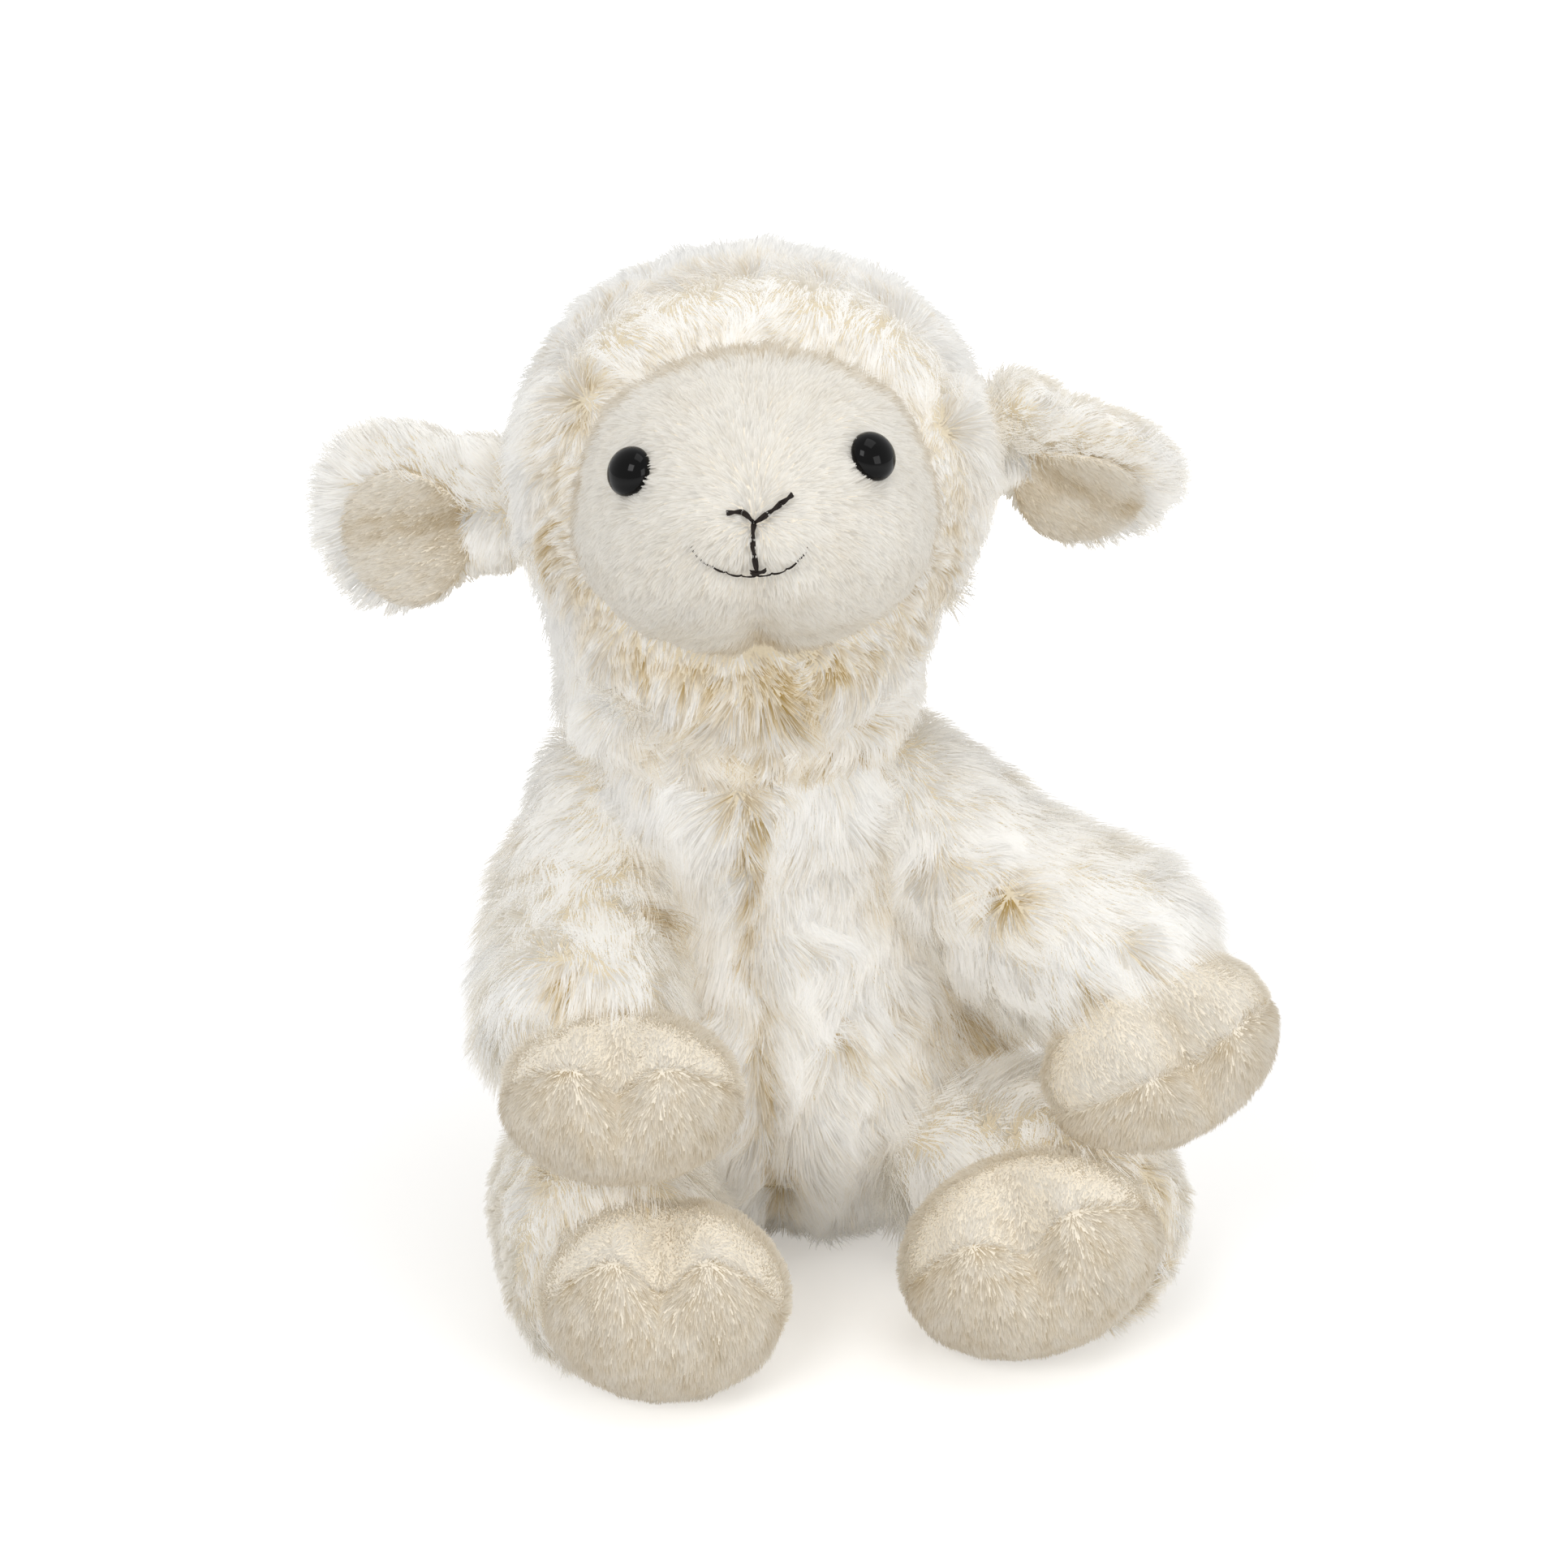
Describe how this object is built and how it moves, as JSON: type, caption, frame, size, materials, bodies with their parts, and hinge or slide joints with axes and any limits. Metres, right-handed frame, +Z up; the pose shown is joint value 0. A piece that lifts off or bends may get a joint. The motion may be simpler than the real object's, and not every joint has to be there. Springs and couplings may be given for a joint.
{
  "type": "plush sheep",
  "caption": "Sitting plush lamb with long-pile covers, a short-pile face, soft cloven hooves, drooping ears and a short tail; its head, limbs, ears and tail move on stuffed joints.",
  "frame": {"origin": "on the floor, under the middle of the seat", "axes": "+Z up, the toy looks along -Y and its left side is towards +X"},
  "size_m": [0.203, 0.1623, 0.219],
  "materials": {
    "long_pile": "long off-white pile, tan towards its roots",
    "short_pile": "short brushed cream pile",
    "stuffing": "white polyester fibre",
    "pouch_cloth": "plain woven pouch filled with beans",
    "black_plastic": "polished black",
    "washer_plastic": "moulded, off-white",
    "black_thread": "embroidery thread"
  },
  "bodies": {
    "torso": {"torso_cover": "long_pile", "torso_stuffing": "stuffing", "seat_bean_pouch": "pouch_cloth"},
    "neck": {"neck_stuffing": "stuffing"},
    "head": {"head_hood": "long_pile", "head_stuffing": "stuffing", "face_panel": "short_pile", "nose_embroidery": "black_thread", "mouth_embroidery": "black_thread", "eye_right": "black_plastic", "eye_left": "black_plastic", "eye_washer_right": "washer_plastic", "eye_washer_left": "washer_plastic"},
    "tail": {"tail": "long_pile"},
    "ear_right": {"ear_right_back": "long_pile", "ear_right_lining": "short_pile"},
    "leg_right": {"leg_right_sleeve": "long_pile", "leg_right_foot": "short_pile", "leg_right_sole": "short_pile", "leg_right_stuffing": "stuffing"},
    "arm_right": {"arm_right_sleeve": "long_pile", "arm_right_hoof": "short_pile", "arm_right_sole": "short_pile", "arm_right_stuffing": "stuffing"},
    "ear_left": {"ear_left_back": "long_pile", "ear_left_lining": "short_pile"},
    "leg_left": {"leg_left_sleeve": "long_pile", "leg_left_foot": "short_pile", "leg_left_sole": "short_pile", "leg_left_stuffing": "stuffing"},
    "arm_left": {"arm_left_sleeve": "long_pile", "arm_left_hoof": "short_pile", "arm_left_sole": "short_pile", "arm_left_stuffing": "stuffing"}
  },
  "joints": [
    {"name": "neck_turn", "type": "hinge", "parent": "torso", "child": "neck", "pos_m": [-0.013, -0.008, 0.122], "axis": [0, 0, 1], "range_deg": [-45, 45]},
    {"name": "neck_nod", "type": "hinge", "parent": "neck", "child": "head", "pos_m": [-0.013, -0.008, 0.122], "axis": [1, 0, 0], "range_deg": [-11, 11]},
    {"name": "ear_right_flap", "type": "hinge", "parent": "head", "child": "ear_right", "pos_m": [-0.05435, -0.008, 0.16392], "axis": [0, 1, 0], "range_deg": [-30, 20]},
    {"name": "ear_left_flap", "type": "hinge", "parent": "head", "child": "ear_left", "pos_m": [0.03498, -0.008, 0.1821], "axis": [0, 1, 0], "range_deg": [-30, 10]},
    {"name": "arm_right_raise", "type": "hinge", "parent": "torso", "child": "arm_right", "pos_m": [-0.04742, -0.00588, 0.0985], "axis": [-0.66, 0.34, -0.67], "range_deg": [0, 55]},
    {"name": "arm_left_raise", "type": "hinge", "parent": "torso", "child": "arm_left", "pos_m": [0.02642, -0.00588, 0.0985], "axis": [-0.5025, -0.7035, 0.5025], "range_deg": [0, 70]},
    {"name": "leg_right_swing", "type": "hinge", "parent": "torso", "child": "leg_right", "pos_m": [-0.0348, -0.02632, 0.0235], "axis": [1, 0, 0], "range_deg": [0, 75]},
    {"name": "leg_left_swing", "type": "hinge", "parent": "torso", "child": "leg_left", "pos_m": [0.0348, -0.02632, 0.0235], "axis": [1, 0, 0], "range_deg": [0, 75]},
    {"name": "tail_wag", "type": "hinge", "parent": "torso", "child": "tail", "pos_m": [-0.0032, 0.03934, 0.03], "axis": [0, 0, 1], "range_deg": [-15, 15]}
  ]
}
